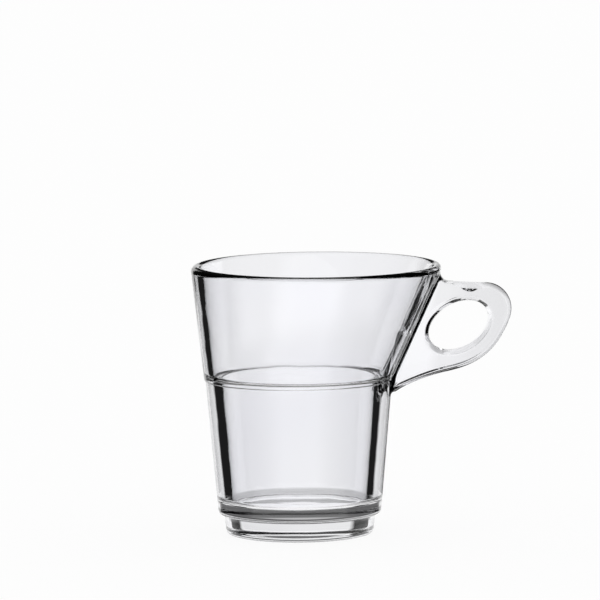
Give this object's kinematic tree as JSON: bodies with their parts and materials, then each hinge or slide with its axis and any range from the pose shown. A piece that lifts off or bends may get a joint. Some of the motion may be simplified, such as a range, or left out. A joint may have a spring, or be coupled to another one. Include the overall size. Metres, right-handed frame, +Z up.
{
  "type": "cortado glass",
  "caption": "Clear pressed-glass stacking cup: wide bowl leaning toward an open ring handle, narrow barrel, inner stacking ledge and stepped-in foot.",
  "frame": {"origin": "middle of the foot's standing ring, on the table", "axes": "+Z up, +X toward the handle, the handle's middle plane is XZ"},
  "size_m": [0.1076, 0.084, 0.091],
  "materials": {
    "clear_glass": "clear, fire-polished"
  },
  "bodies": {
    "root": {"bowl": "clear_glass", "collar": "clear_glass", "barrel": "clear_glass", "foot": "clear_glass", "handle": "clear_glass"}
  },
  "joints": []
}
